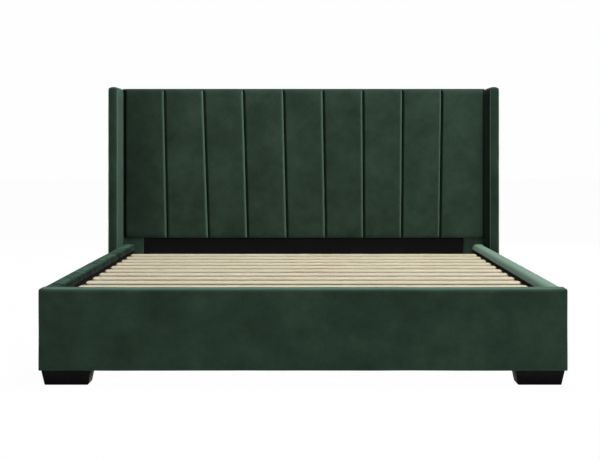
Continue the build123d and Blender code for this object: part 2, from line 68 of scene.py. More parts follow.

# %% [markdown]
# Painted highlight and painted shade on the velvet add to these lamps on the wings' inner sides and on
# rounded edges.
# The main light stands in front, a little to the right, and a second large box hangs over the bed's middle.
# Together they light the left wing's inner side and leave the right one dark, and every rounded velvet edge
# and the tops of the slats catch the light from above. A third box, behind the bed, draws the crest's thin
# line and shows the back.
# The backdrop is white to the camera and in mirrors, the floor to the camera alone, and a thin share of the
# floor's own surface keeps the shadow.

# %% Lamps
def soft_box(name, place, target, width, power):
    """Square lamp that faces a point."""
    data = bpy.data.lights.new(name, "AREA")
    data.size = width
    data.energy = power
    lamp = bpy.data.objects.new(name, data)
    lamp.location = place
    lamp.rotation_euler = (Vector(target) - Vector(place)).to_track_quat("-Z", "Y").to_euler()
    bpy.context.scene.collection.objects.link(lamp)
    print(name, power, "W")


soft_box("main_light", (1.7, -7.4, 3.0), target=(0, 0.4, 0.6), width=1.6, power=245)
soft_box("top_light", (0.8, -0.3, 4.9), target=(0, 0.3, 0.4), width=2.0, power=205)
soft_box("back_light", (0.6, 5.6, 1.5), target=(0, 0, 0.5), width=1.6, power=220)


# %% Node helper
def colour(code):
    """sRGB hex code as linear light, opaque."""
    parts = [int(code[place:place + 2], 16) / 255 for place in (1, 3, 5)]
    linear = [part / 12.92 if part <= 0.04045 else ((part + 0.055) / 1.055) ** 2.4 for part in parts]
    return (*linear, 1.0)


def add(tree, kind, inputs, stops=(), **settings):
    """Adds one node. Inputs holds a value or the output that feeds each socket: a colour Mix node has its
    share on socket 0, its two colours on 6 and 7 and its result on output 2. Stops holds the places and sRGB
    codes along a colour ramp."""
    node = tree.nodes.new(kind)
    for name, value in settings.items():
        setattr(node, name, value)
    for name, value in inputs.items():
        if isinstance(value, bpy.types.NodeSocket):
            tree.links.new(value, node.inputs[name])
        else:
            node.inputs[name].default_value = value
    for position, code in stops[1:-1]:
        node.color_ramp.elements.new(position)
    for element, (position, code) in zip(node.color_ramp.elements if stops else (), stops):
        element.position, element.color = position, colour(code)
    return node


# %% World
world = bpy.data.worlds.new("studio")
world.use_nodes = True
world_tree = world.node_tree
world_tree.nodes.clear()
seen = add(world_tree, "ShaderNodeLightPath", {}).outputs
room_light = add(world_tree, "ShaderNodeBackground", {"Color": colour("#f4f6f5"), "Strength": 0.04})
white_wall = add(world_tree, "ShaderNodeBackground", {"Color": colour("#fefefe"), "Strength": 1.0})
seen_or_mirrored = add(world_tree, "ShaderNodeMath", {0: seen["Is Camera Ray"], 1: seen["Is Glossy Ray"]},
                       operation="MAXIMUM").outputs[0]
wall_choice = add(world_tree, "ShaderNodeMath", {0: seen_or_mirrored, 1: seen["Is Transmission Ray"]},
                  operation="MAXIMUM").outputs[0]
wall_mix = add(world_tree, "ShaderNodeMixShader",
               {0: wall_choice, 1: room_light.outputs[0], 2: white_wall.outputs[0]})
add(world_tree, "ShaderNodeOutputWorld", {"Surface": wall_mix.outputs[0]})
bpy.context.scene.world = world
bpy.context.scene.view_settings.view_transform = "Standard"
print("world:", world.name, "with", len(world_tree.nodes), "nodes")

# %% [markdown]
# Blender's operators act on all that is selected. So a new piece starts from a primitive with the rest
# deselected, its faces and edges are picked by their place, and what repeats is copied with its own mesh.

# %% Modelling helpers
def deselect():
    bpy.ops.object.select_all(action="DESELECT")


def activate(piece):
    """Makes a piece the only one selected."""
    deselect()
    piece.select_set(True)
    bpy.context.view_layer.objects.active = piece


def enter_edit():
    """Edit mode, with all of the active piece selected."""
    bpy.ops.object.mode_set(mode="EDIT")
    bpy.ops.mesh.select_all(action="SELECT")


def leave_edit():
    bpy.ops.object.mode_set(mode="OBJECT")


def pick(piece, kind, test):
    """In edit mode, selects only those points, edges or faces that pass the test."""
    mesh = bmesh.from_edit_mesh(piece.data)
    for element in [*mesh.verts, *mesh.edges, *mesh.faces]:
        element.select = False
    mode = {"verts": "VERT", "edges": "EDGE", "faces": "FACE"}[kind]
    bpy.ops.mesh.select_mode(type=mode)
    for element in [element for element in getattr(mesh, kind) if test(element)]:
        element.select_set(True)
    bmesh.update_edit_mesh(piece.data)


def new_piece(name, primitive, **settings):
    """Piece from one of Blender's primitives, its object at the origin, its place and size in its mesh."""
    deselect()
    primitive(**settings)
    bpy.ops.object.transform_apply(location=True, rotation=True, scale=True)
    piece = bpy.context.object
    piece.name = piece.data.name = name
    return piece


def cube(name, low, high):
    """Block between two corners."""
    low, high = Vector(low), Vector(high)
    return new_piece(name, bpy.ops.mesh.primitive_cube_add, size=1, location=(low + high) / 2,
                     scale=high - low)


def apply(piece, kind, **settings):
    """Adds a modifier with its settings and applies it."""
    activate(piece)
    modifier = piece.modifiers.new(kind.title(), kind)
    for name, value in settings.items():
        setattr(modifier, name, value)
    bpy.ops.object.modifier_apply(modifier=modifier.name)


def copy_of(piece, name, move):
    """Moved copy with its own mesh."""
    twin = piece.copy()
    twin.data = piece.data.copy()
    twin.name = twin.data.name = name
    bpy.context.scene.collection.objects.link(twin)
    twin.data.transform(Matrix.Translation(move))
    return twin


def joined(name, parts):
    """Several parts made one piece, each part still its own shell."""
    deselect()
    for part in parts:
        part.select_set(True)
    bpy.context.view_layer.objects.active = parts[0]
    bpy.ops.object.join()
    parts[0].name = parts[0].data.name = name
    return parts[0]


def grid(name, columns, rows, place_of):
    """Sheet of cells, each point put where place_of says for its two shares from 0 to 1."""
    piece = new_piece(name, bpy.ops.mesh.primitive_grid_add, x_subdivisions=columns, y_subdivisions=rows,
                      size=1)
    for vertex in piece.data.vertices:
        vertex.co = place_of(vertex.co.x + 0.5, vertex.co.y + 0.5)
    return piece


def near(a, b, reach=0.2 * mm):
    return abs(a - b) < reach


def share_of(value, whole):
    """A value as a share of the whole, held between 0 and 1."""
    return min(1, max(0, value / whole))


def on(**levels):
    """Test for points at a level on each axis that is named; of two levels, either will do."""
    choices = {axis: level if isinstance(level, tuple) else (level,) for axis, level in levels.items()}
    return lambda place: all(any(near(getattr(place, axis), level) for level in choice)
                             for axis, choice in choices.items())


def narrow(share_x, share_y, middle):
    """In edit mode, draws the selected part towards an upright line."""
    bpy.ops.transform.resize(value=(share_x, share_y, 1), center_override=(middle.x, middle.y, 0))


def face_outward(piece):
    """Turns every face of a closed piece to the outside."""
    activate(piece)
    enter_edit()
    bpy.ops.mesh.normals_make_consistent(inside=False)
    leave_edit()


def mirror_piece(piece):
    """Turns a right-hand piece into its left-hand twin."""
    piece.data.transform(Matrix.Scale(-1, 4, (1, 0, 0)))
    face_outward(piece)


def slice_up(axis, places):
    """In edit mode, cuts the whole piece by planes across one axis."""
    normal = [0, 0, 0]
    normal[axis] = 1
    for place in places:
        spot = [0, 0, 0]
        spot[axis] = place
        bpy.ops.mesh.select_all(action="SELECT")
        bpy.ops.mesh.bisect(plane_co=spot, plane_no=normal)


def steps(start, end, gap):
    """Even places between two ends, about a gap apart and without the ends."""
    count = max(1, round(abs(end - start) / gap))
    return [start + (end - start) * number / count for number in range(1, count)]


# %% Finishing helper
def finish(piece, material, slot_name, *nodes, body="bed", angle=60):
    """Gives a piece its material and body, hides the CAD nodes that it stands in for, and shades it smooth
    over turns below the angle.
    """
    activate(piece)
    bpy.ops.object.shade_smooth_by_angle(angle=math.radians(angle))
    piece.data.materials.clear()
    piece.data.materials.append(material)
    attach(piece, body)
    if nodes:
        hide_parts(*nodes)
    print(piece.name, len(piece.data.polygons), "faces")


# %% [markdown]
# Upholstery velvet is a short dense pile on a woven back. Its roots are dark and its tips catch light from
# the side, so that flat stretches look deep green and every turned edge a shade paler.
# The pile leans in patches a hand's breadth wide, which shows as soft clouds. Its real threads are 0.3 mm
# apart, too fine to show here, so that the fleck is drawn 3 mm wide.
# Two marks on a velvet skin steer the colour, as painted light: painted highlight, paler, on tight bends,
# on lit tops and on sides that face the light, on top of the sheen; and painted shade, near black, in
# seams, beside the wings and on sides that face away from the light.

# %% Velvet
def material_of(name):
    """New material with its tree, shader and output, and object coordinates."""
    material = bpy.data.materials.new(name)
    material.use_nodes = True
    tree = material.node_tree
    tree.nodes.clear()
    print("material:", name)
    shader = add(tree, "ShaderNodeBsdfPrincipled", {})
    add(tree, "ShaderNodeOutputMaterial", {"Surface": shader.outputs[0]})
    place = add(tree, "ShaderNodeTexCoord", {}).outputs["Object"]
    return material, tree, shader, place


def surface(tree, shader, tone, height, depth, strength, **values):
    """Feeds the shader its colour and bump, and sets its other sockets to plain values."""
    bump = add(tree, "ShaderNodeBump", {"Height": height, "Distance": depth, "Strength": strength})
    tree.links.new(tone, shader.inputs["Base Color"])
    tree.links.new(bump.outputs[0], shader.inputs["Normal"])
    for name, value in values.items():
        shader.inputs[name.replace("_", " ")].default_value = value


fleck_width = 3 * mm
fleck_share = 0.4
cloud_width = 170 * mm
cloud_roughness = 0.72
crush_width = 26 * mm
crush_stretch = (0.35, 1.0, 0.6)
highlight_streak_start, highlight_streak_full = 0.36, 0.62


def velvet(name, dark, pale, highlight_tone="#5f7f6d", sheen=0.6, crushed=False):
    """Green velvet: clouds of leaning pile run from dark to pale, then two marks mix in painted highlight and
    painted shade; on crushed velvet the painted highlight falls in streaks.
    """
    material, tree, shader, place = material_of(name)
    clouds = add(tree, "ShaderNodeTexNoise", {"Vector": place, "Scale": 1 / cloud_width, "Detail": 8.0,
                                              "Roughness": cloud_roughness}).outputs["Fac"]
    fleck = add(tree, "ShaderNodeTexNoise",
                {"Vector": place, "Scale": 1 / fleck_width, "Detail": 2.0}).outputs["Fac"]
    blend = add(tree, "ShaderNodeMath", {0: fleck, 1: fleck_share, 2: clouds}, operation="MULTIPLY_ADD")
    tone = add(tree, "ShaderNodeValToRGB", {0: blend.outputs[0]}, ((0.2, dark), (1.0, pale))).outputs[0]
    across = add(tree, "ShaderNodeMapping", {"Vector": place, "Scale": crush_stretch}).outputs[0]
    crush = add(tree, "ShaderNodeTexNoise",
                {"Vector": across, "Scale": 1 / crush_width, "Detail": 3.0}).outputs["Fac"]
    streaks = add(tree, "ShaderNodeMapRange",
                  {"Value": crush, "From Min": highlight_streak_start, "From Max": highlight_streak_full}).outputs[0]
    # Painted light: the first mark mixes in the pale highlight tone, the second mixes in near-black painted
    # shade.
    for mark, code in (("velvet_painted_highlight", highlight_tone), ("velvet_painted_shade", "#050d08")):
        share = add(tree, "ShaderNodeAttribute", {}, attribute_name=mark).outputs["Fac"]
        # On crushed velvet the painted highlight shows only in streaks.
        if crushed and mark == "velvet_painted_highlight":
            share = add(tree, "ShaderNodeMath", {0: share, 1: streaks}, operation="MULTIPLY").outputs[0]
        tone = add(tree, "ShaderNodeMix", {0: share, 6: tone, 7: colour(code)}, data_type="RGBA").outputs[2]
    surface(tree, shader, tone, fleck, 0.4 * mm, 0.35, Roughness=0.9, Specular_IOR_Level=0.0,
            Sheen_Weight=sheen, Sheen_Roughness=0.3, Sheen_Tint=colour("#a9c0b3"))
    return material


# Each velvet's highlight tone, given or default, is the colour of its painted highlight; the right rail's
# velvet has the palest.
green_velvet = velvet("green_velvet", "#111b14", "#3c4f42")
outer_velvet = velvet("green_velvet_flat_pile", "#0f1811", "#34473b", "#6c8b7b", sheen=0.05)
crushed_velvet = velvet("crushed_green_velvet", "#0d150f", "#25372c", "#5f8371", sheen=0.2, crushed=True)
pale_painted_velvet = velvet("rail_velvet_painted_pale", "#17221b", "#394c3f", "#819e8e")


def new_light_marks(piece):
    """New marks for painted highlight and for painted shade."""
    piece.data.update()
    return [piece.data.attributes.new(name, "FLOAT", "POINT") for name in ("velvet_painted_highlight", "velvet_painted_shade")]


bend_start = 0.05
bend_span = 0.2


def paint_cover_light(piece, bends=0.7, top=0.0, inside=0.0, top_edge=4):
    """Paints highlight on upright bends and on the lit top, which fades at its edge by a power; on the -X
    side a share above zero paints highlight and one below paints shade."""
    highlight_mark, shade_mark = new_light_marks(piece)
    for vertex in piece.data.vertices:
        normal = vertex.normal
        turn = 1 - max(abs(part) for part in normal)
        bent = share_of(turn - bend_start, bend_span) * (1 - abs(normal.z))
        aside = max(0, -normal.x)
        # Painted light: paler where a bend or top catches light, darker on an inner side that faces away from
        # it.
        lit_top = top * max(0, normal.z) ** top_edge
        highlight_mark.data[vertex.index].value = max(bends * bent, lit_top, inside * aside)
        shade_mark.data[vertex.index].value = max(0, -inside * aside * (1 - bent))


# %% [markdown]
# The other finishes: black spun-bonded lining cloth, planed pine, birch plywood, black lacquered feet,
# powder-coated steel, zinc-plated steel and nylon. Each has the grain, weave or mottle of the real one.

# %% Lining cloth
bond_pitch = 6 * mm
fibre_width = 2 * mm


def lining_cloth():
    """Spun-bonded polypropylene: matt black fleece with a grid of welded points."""
    material, tree, shader, place = material_of("black_lining_cloth")
    points = add(tree, "ShaderNodeTexVoronoi",
                 {"Vector": place, "Scale": 1 / bond_pitch, "Randomness": 0.15}).outputs["Distance"]
    fibres = add(tree, "ShaderNodeTexNoise",
                 {"Vector": place, "Scale": 1 / fibre_width, "Detail": 3.0}).outputs["Fac"]
    height = add(tree, "ShaderNodeMath", {0: points, 1: fibres}, operation="ADD").outputs[0]
    tone = add(tree, "ShaderNodeValToRGB", {0: fibres}, ((0.3, "#141515"), (0.7, "#1e1f1f"))).outputs[0]
    surface(tree, shader, tone, height, 0.1 * mm, 0.25, Roughness=0.95, Specular_IOR_Level=0.05)
    return material


black_lining = lining_cloth()

# %% Planed pine
ring_width = 9 * mm
grain_stretch = 0.035
ring_wander = 0.035
wander_width = 1 / 18
board_width = 1 / 9


def planed_pine(name, grain_axis):
    """Pale softwood: straight tan rings along one axis, browner by a mark of end grain and painted shade,
    matt and unlacquered.
    """
    material, tree, shader, place = material_of(name)
    stretch = [1.0, 1.0, 1.0]
    stretch[grain_axis] = grain_stretch
    along = add(tree, "ShaderNodeMapping", {"Vector": place, "Scale": stretch}).outputs[0]
    wander = add(tree, "ShaderNodeTexNoise",
                 {"Vector": along, "Scale": 1 / wander_width, "Detail": 2.0}).outputs["Color"]
    shifted = add(tree, "ShaderNodeMix", {0: ring_wander, 6: along, 7: wander}, data_type="RGBA",
                  blend_type="ADD").outputs[2]
    rings = add(tree, "ShaderNodeTexNoise", {"Vector": shifted, "Scale": 1 / ring_width, "Detail": 3.0,
                                             "Roughness": 0.6}).outputs["Fac"]
    boards = add(tree, "ShaderNodeTexNoise",
                 {"Vector": along, "Scale": 1 / board_width, "Detail": 1.0}).outputs["Fac"]
    tone = add(tree, "ShaderNodeValToRGB", {0: rings},
               ((0.28, "#a5906b"), (0.42, "#cdc2a4"), (0.56, "#d8cfb7"))).outputs[0]
    slat_shading = add(tree, "ShaderNodeAttribute", {}, attribute_name="end_grain_and_painted_shade").outputs["Fac"]
    # The mark mixes in dark brown: end grain at the ends and painted shade down the sides.
    for share, code in ((boards, "#d0c6ab"), (slat_shading, "#3f2d1a")):
        tone = add(tree, "ShaderNodeMix", {0: share, 6: tone, 7: colour(code)}, data_type="RGBA").outputs[2]
    surface(tree, shader, tone, rings, 0.3 * mm, 0.3, Roughness=0.62, Specular_IOR_Level=0.3)
    return material


pine_across = planed_pine("planed_pine_across", 0)
pine_along = planed_pine("planed_pine_along", 1)
pine_upright = planed_pine("planed_pine_upright", 2)

# %% Plywood
figure_width = 12 * mm
figure_stretch = (0.08, 0.08, 1.0)


def birch_plywood():
    """Smooth pale veneer with a faint cloudy figure."""
    material, tree, shader, place = material_of("birch_plywood")
    along = add(tree, "ShaderNodeMapping", {"Vector": place, "Scale": figure_stretch}).outputs[0]
    figure = add(tree, "ShaderNodeTexNoise",
                 {"Vector": along, "Scale": 1 / figure_width, "Detail": 4.0}).outputs["Fac"]
    tone = add(tree, "ShaderNodeValToRGB", {0: figure}, ((0.3, "#b89a6c"), (0.7, "#d6be92"))).outputs[0]
    surface(tree, shader, tone, figure, 0.1 * mm, 0.2, Roughness=0.6)
    return material


plywood = birch_plywood()


# %% Lacquer, steel and nylon
def coated(name, low_tone, high_tone, mottle, depth, roughness, metallic=0.0, gloss=0.5):
    """Even coating with a fine mottle in its colour and surface."""
    material, tree, shader, place = material_of(name)
    grain = add(tree, "ShaderNodeTexNoise",
                {"Vector": place, "Scale": 1 / mottle, "Detail": 3.0}).outputs["Fac"]
    tone = add(tree, "ShaderNodeValToRGB", {0: grain}, ((0.3, low_tone), (0.7, high_tone))).outputs[0]
    surface(tree, shader, tone, grain, depth, 0.4, Roughness=roughness, Metallic=metallic,
            Specular_IOR_Level=gloss)
    return material


foot_lacquer = coated("black_satin_lacquer", "#040405", "#080809", 22 * mm, 0.1 * mm, roughness=0.5,
                      gloss=0.09)
powder_coat = coated("black_powder_coat", "#101112", "#1c1d1e", 1.2 * mm, 0.15 * mm, roughness=0.55)
zinc_plate = coated("zinc_plated_steel", "#8f969b", "#c4cacd", 14 * mm, 0.05 * mm, roughness=0.34,
                    metallic=1.0)
nylon = coated("black_nylon", "#141516", "#1e1f20", 3 * mm, 0.08 * mm, roughness=0.45)

# %% [markdown]
# Every CAD node gets the finish of the first line below that has a word of its name, and the last line's
# empty word is in every name. Slats, rails, ledges and the beam have their grain along their length.

# %% Finishes of the frame
finishes = (
    (zinc_plate, "slat_screws"),
    (pine_along, "slat_ledge", "centre_beam"),
    (pine_across, "slat_", "top_rail", "middle_rail", "bottom_rail"),
    (pine_upright, "headboard_post", "headboard_centre", "corner_blocks"),
    (black_lining, "lining"),
    (foot_lacquer, "foot_left", "foot_right"),
    (powder_coat, "beam_hangers", "centre_leg", "corner_brackets"),
    (nylon, "glide"),
    (plywood, "board"),
    (zinc_plate, ""),
)
for name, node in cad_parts.items():
    finish_of_node = next(material for material, *words in finishes if any(word in name for word in words))
    node.data.materials.clear()
    node.data.materials.append(finish_of_node)
print("finishes given to", len(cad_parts), "nodes")


# %% [markdown]
# Velvet over foam is cloth under light pressure. Each padded piece is first shaped as the foam inside it,
# in cells about 25 mm wide, and then Blender's cloth lets its skin swell a few millimetres while the sewn
# and stapled points stay put. A soft limit keeps every point close to the foam. Finer shape, such as the
# tight roll into a seam, comes after that, because cloth with very small cells takes far longer to work out.

# %% Plumping helpers
cell = 25 * mm
cloth_pressure = 4.0
cloth_frames = 20


def plump(piece, held, cap):
    """Lets the skin of a piece swell by at most about cap, except at the held points."""
    start = [vertex.co.copy() for vertex in piece.data.vertices]
    group = piece.vertex_groups.new(name="held")
    group.add([index for index, place in enumerate(start) if held(place)], 1.0, "REPLACE")
    activate(piece)
    cloth = piece.modifiers.new("Cloth", "CLOTH")
    cloth.settings.use_pressure = True
    cloth.settings.uniform_pressure_force = cloth_pressure
    cloth.settings.vertex_group_mass = "held"
    cloth.settings.effector_weights.gravity = 0
    cloth.collision_settings.use_collision = False
    for number in range(1, cloth_frames + 1):
        bpy.context.scene.frame_set(number)
    bpy.ops.object.modifier_apply(modifier="Cloth")
    for vertex, place in zip(piece.data.vertices, start):
        move = vertex.co - place
        if move.length > 0:
            vertex.co = place + move * (cap * math.tanh(move.length / cap) / move.length)
    bpy.context.scene.frame_set(1)


# %% [markdown]
# The headboard's face is one velvet skin sewn down along eight seams over foam, so that nine channels stand
# out between them. The seams lean a little, as sewn. A grid is laid over the face, swelled as cloth between
# the seams, cut finer, and then rolled down into each seam with its columns drawn together there. Each
# channel rolls softly to the seam on its right and rises steeply from the one on its left, as the photograph
# shows by the pale line and the black one at every seam. Both lines are also painted: painted highlight on
# each right-hand roll, painted shade on each left-hand wall and in each valley. Painted shade lies beside
# the wings and over the left of the face, and a faint painted highlight grows towards its right.

# %% Channel shape
pad_low, pad_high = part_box("headboard_channel_pad")
seam_top_shares = (-1, -0.773, -0.556, -0.336, -0.114, 0.104, 0.324, 0.544, 0.76, 1)
seam_bottom_shares = (-1, -0.756, -0.528, -0.312, -0.095, 0.118, 0.328, 0.538, 0.749, 1)
channel_count = len(seam_top_shares) - 1
columns_in_channel = 8
seam_roll = 20 * mm
wall_roll = 15 * mm
valley_width = 3.5 * mm
side_roll = 26 * mm
end_roll = 17 * mm
channel_stand = 18 * mm
channel_crown = 2.5 * mm
column_draw = 0.78
last_roll_share = 0.6
end_fullness = 0.7
roll_power = 2.4
pucker_share = 0.25
pucker_width = 22 * mm
drift_depth = 1 * mm
drift_width = 200 * mm
drift_height = 250 * mm
skin_face = pad_low.y + channel_crown


def roll(distance, radius):
    """Share of the full height at a distance from a sewn edge: steep at the seam, level past the radius."""
    inward = 1 - min(distance / radius, 1)
    return (1 - inward ** roll_power) ** 0.5


def seam_lines(level):
    """X of every seam at one level."""
    share = (level - pad_low.z) / (pad_high.z - pad_low.z)
    return [pad_high.x * (bottom + (top - bottom) * share)
            for bottom, top in zip(seam_bottom_shares, seam_top_shares)]


def rolled(place):
    """A point of the skin after its columns are drawn to the seams and rolled down into them."""
    seams = seam_lines(place.z)
    channel = max(number for number in range(channel_count) if place.x >= seams[number] - 0.01 * mm)
    start, end = seams[channel], seams[channel + 1]
    across = (place.x - start) / (end - start)
    drawn = across - column_draw * math.sin(2 * math.pi * across) / (2 * math.pi)
    x = start + (end - start) * drawn
    left_roll = side_roll if channel == 0 else wall_roll
    right_roll = side_roll * last_roll_share if channel == channel_count - 1 else seam_roll
    pucker = 1 + pucker_share * noise.noise(Vector((channel * 5.1, 0, place.z / pucker_width)))
    left_fullness = roll(max(0, x - start - valley_width), left_roll)
    across_fullness = min(left_fullness, roll(end - x, right_roll * pucker))
    from_end = min(place.z - pad_low.z, pad_high.z - place.z)
    fullness = across_fullness * (end_fullness + (1 - end_fullness) * roll(from_end, end_roll))
    crown = channel_crown * (1 - (2 * across - 1) ** 2) * fullness
    drift = noise.noise(Vector((x / drift_width, place.z / drift_height, channel * 3.7))) * drift_depth
    return Vector((x, place.y - crown + drift + channel_stand * (1 - fullness), place.z))


def smooth_fall(distance, full, none):
    """1 up to one distance, falling to 0 at another."""
    share = share_of(none - distance, none - full)
    return share * share * (3 - 2 * share)


left_wing_shade = (16 * mm, 30 * mm)
right_wing_shade = (7 * mm, 14 * mm)
first_channel_shade = (60 * mm, 420 * mm)
shade_share = 0.3
bright_share = 0.08
turn_start = 0.4
roll_span = 0.5
wall_span = 0.4
valley_reach = valley_width + 2 * mm


def paint_seam_light(piece):
    """Paints highlight on the right-hand roll of each channel and shade on its left-hand wall and in the
    valley, with painted shade beside the wings and a slow painted change over the whole face from shade on
    the left to highlight on the right."""
    highlight_mark, shade_mark = new_light_marks(piece)
    for vertex in piece.data.vertices:
        aside = vertex.normal.x
        gaps = [vertex.co.x - x for x in seam_lines(vertex.co.z)]
        seam_gap = min(abs(gap) for gap in gaps)
        in_valley = any(-0.5 * mm < gap < valley_reach for gap in gaps)
        # Painted shadow beside each wing, and painted shade in the valleys and on the left-hand walls.
        beside_wing = max(smooth_fall(gaps[0], *left_wing_shade), smooth_fall(-gaps[-1], *right_wing_shade))
        on_roll = share_of(aside - turn_start, roll_span) * share_of(seam_gap, mm)
        on_wall = share_of(-aside - turn_start, wall_span)
        # Painted light: a faint highlight grows towards the right of the face, and painted shade lies over
        # its left part.
        rightward = max(0, vertex.co.x / pad_high.x) ** 3
        leftward = smooth_fall(gaps[0], *first_channel_shade)
        highlight_mark.data[vertex.index].value = max(on_roll, bright_share * rightward)
        shade_mark.data[vertex.index].value = max(on_wall, in_valley, beside_wing, shade_share * leftward)


# %% Headboard channels
row_count = round((pad_high.z - pad_low.z) / cell)
column_count = channel_count * columns_in_channel


def flat_face(u, v):
    """Point of the skin before it swells: the columns stand evenly between the seams."""
    level = pad_low.z + (pad_high.z - pad_low.z) * v
    column = round(u * column_count)
    channel = min(column // columns_in_channel, channel_count - 1)
    seams = seam_lines(level)
    across = (column - channel * columns_in_channel) / columns_in_channel
    return seams[channel] + (seams[channel + 1] - seams[channel]) * across, skin_face, level


def on_seam(place):
    near_end = min(place.z - pad_low.z, pad_high.z - place.z) < mm
    return near_end or min(abs(place.x - x) for x in seam_lines(place.z)) < mm


channels = grid("velvet_channels", column_count, row_count, flat_face)
plump(channels, on_seam, 3 * mm)
enter_edit()
bpy.ops.mesh.subdivide(number_cuts=3)
leave_edit()
for vertex in channels.data.vertices:
    vertex.co = rolled(vertex.co)
enter_edit()
bpy.ops.mesh.region_to_loop()
to_back = (0, pad_high.y - skin_face - channel_stand, 0)
bpy.ops.mesh.extrude_edges_move(TRANSFORM_OT_translate={"value": to_back})
bpy.ops.mesh.edge_face_add()
leave_edit()
face_outward(channels)
paint_seam_light(channels)
finish(channels, green_velvet, "velvet", "headboard_channel_pad", angle=180)


# %% [markdown]
# A padded cover starts as a block of its real size, sliced into cells. Its sewn and folded edges are marked
# while the block is still square, the skin is swelled, and then the marked edges are rounded by bevels.
# A pocket is pushed into the cover for the board that it wraps.

# %% Cover helpers
def sliced_block(name, low, high, gaps):
    """Block between two corners, cut into cells about as wide as the three gaps."""
    piece = cube(name, low, high)
    enter_edit()
    for axis, gap in enumerate(gaps):
        slice_up(axis, steps(low[axis], high[axis], gap))
    leave_edit()
    return piece


def folds(piece, tests):
    """Numbers of the edges along each fold: an edge belongs to the first fold whose test both ends pass."""
    numbers = [[] for _ in tests]
    for edge in piece.data.edges:
        ends = [piece.data.vertices[number].co for number in edge.vertices]
        for fold, test in zip(numbers, tests):
            if all(test(end) for end in ends):
                fold.append(edge.index)
                break
    return numbers


def round_folds(piece, folds_of_piece, widths, segments=4):
    """Bevels each fold by its width, all at once marked by weight, so that the corners meet cleanly."""
    widest = max(widths)
    if "bevel_weight_edge" in piece.data.attributes:
        piece.data.attributes.remove(piece.data.attributes["bevel_weight_edge"])
    weights = piece.data.attributes.new("bevel_weight_edge", "FLOAT", "EDGE")
    for fold, width in zip(folds_of_piece, widths):
        for number in fold:
            weights.data[number].value = width / widest
    apply(piece, "BEVEL", width=widest, segments=segments, limit_method="WEIGHT", use_clamp_overlap=False)


def uneven(piece, amount, size, seed):
    """Moves the skin in and out a little, as hand-cut foam does."""
    piece.data.update()
    for vertex in piece.data.vertices:
        lift = noise.noise(vertex.co / size + Vector((seed, seed, seed)))
        vertex.co += vertex.normal * lift * amount


# %% Wing covers
wing_low, wing_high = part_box("wing_cover_right")
wing_board_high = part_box("wing_board_right")[1]
wing_crown = 7 * mm
wing_foam = 12 * mm
wing_fold_widths = (5 * mm, 8 * mm, 5 * mm, 7 * mm, 3 * mm)


def wing_cover(side, inner_side_light):
    """Velvet and foam round one wing, with a crowned top; inner_side_light paints its inner side: highlight
    above zero, shade below zero.
    """
    low, high = wing_low, Vector((wing_high.x, wing_high.y, wing_high.z - wing_crown))
    piece = sliced_block(f"velvet_wing_{side}", low, high, (16 * mm, cell, cell))
    sides = (low.x, high.x)
    fold = folds(piece, [on(y=low.y, x=low.x), on(y=low.y, x=high.x), on(z=high.z, x=sides),
                         on(z=high.z, y=low.y), on(y=high.y, x=sides)])
    at_front_fold = on(y=low.y, x=sides)
    plump(piece, lambda place: place.z < low.z + mm or place.y > high.y - mm or at_front_fold(place), 3 * mm)
    round_folds(piece, fold, wing_fold_widths)
    middle = (low.x + high.x) / 2
    half = (high.x - low.x) / 2
    for vertex in piece.data.vertices:
        rise = max(0, (vertex.co.z - (high.z - 2 * cell)) / (2 * cell))
        vertex.co.z += wing_crown * rise ** 2 * max(0, 1 - ((vertex.co.x - middle) / half) ** 2)
    uneven(piece, amount=0.8 * mm, size=90 * mm, seed=2)
    enter_edit()
    pick(piece, "faces", lambda face: face.normal.z < -0.9 and face.calc_center_median().z < low.z + 2 * mm)
    bpy.ops.mesh.dissolve_faces()
    bpy.ops.mesh.inset(thickness=wing_foam)
    bpy.ops.mesh.extrude_region_move(TRANSFORM_OT_translate={"value": (0, 0, wing_board_high.z - low.z)})
    leave_edit()
    paint_cover_light(piece, bends=0.9, top=0.2, inside=inner_side_light)
    if side == "left":
        mirror_piece(piece)
    finish(piece, outer_velvet, "velvet", f"wing_cover_{side}")


# Painted shade on the right wing's inner side and painted highlight on the left one's, as the light comes
# from the right.
wing_cover("right", inner_side_light=-0.85)
wing_cover("left", inner_side_light=0.5)

# %% [markdown]
# A side rail is a board with foam over its outside and top. The velvet is folded over the top and down the
# inside as far as the mattress hides it, and black lining covers the rest.
# The skin is one loop: its section runs up the inside, over the top, down the outside and back through the
# pocket of the board. The photograph shows the left rail pulled tight, with crushed pile and small pulls in
# its cloth, and the right one softer, rounder and paler. The left rail's top carries streaks of painted
# highlight and its inner side painted shade; the right rail's paleness is a broad painted highlight over its
# top and bends.

# %% Rail skins
rail_low, rail_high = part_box("rail_cover_right")
rail_board_low, rail_board_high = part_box("rail_board_right")
lining_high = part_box("rail_lining_right")[1]
corner_cut = 1.5 * mm
bottom_round = 5 * mm
core_depth = 30 * mm
rail_end_roll = 16 * mm
rail_end_drop = 7 * mm
most_inward = 4.5 * mm
most_outward = 1.5 * mm
pull_width = 90 * mm
small_pull_share = 0.5
small_pull_height = 40 * mm


def arc(x, z, radius, start, end, count):
    """Points on an arc, between two angles in degrees."""
    turns = [math.radians(start + (end - start) * number / count) for number in range(count + 1)]
    return [(x + radius * math.cos(turn), z + radius * math.sin(turn)) for turn in turns]


def between(start, end, gap):
    """Points on a straight run, without its ends."""
    count = max(1, round(math.dist(start, end) / gap))
    return [tuple(a + (b - a) * number / count for a, b in zip(start, end)) for number in range(1, count)]


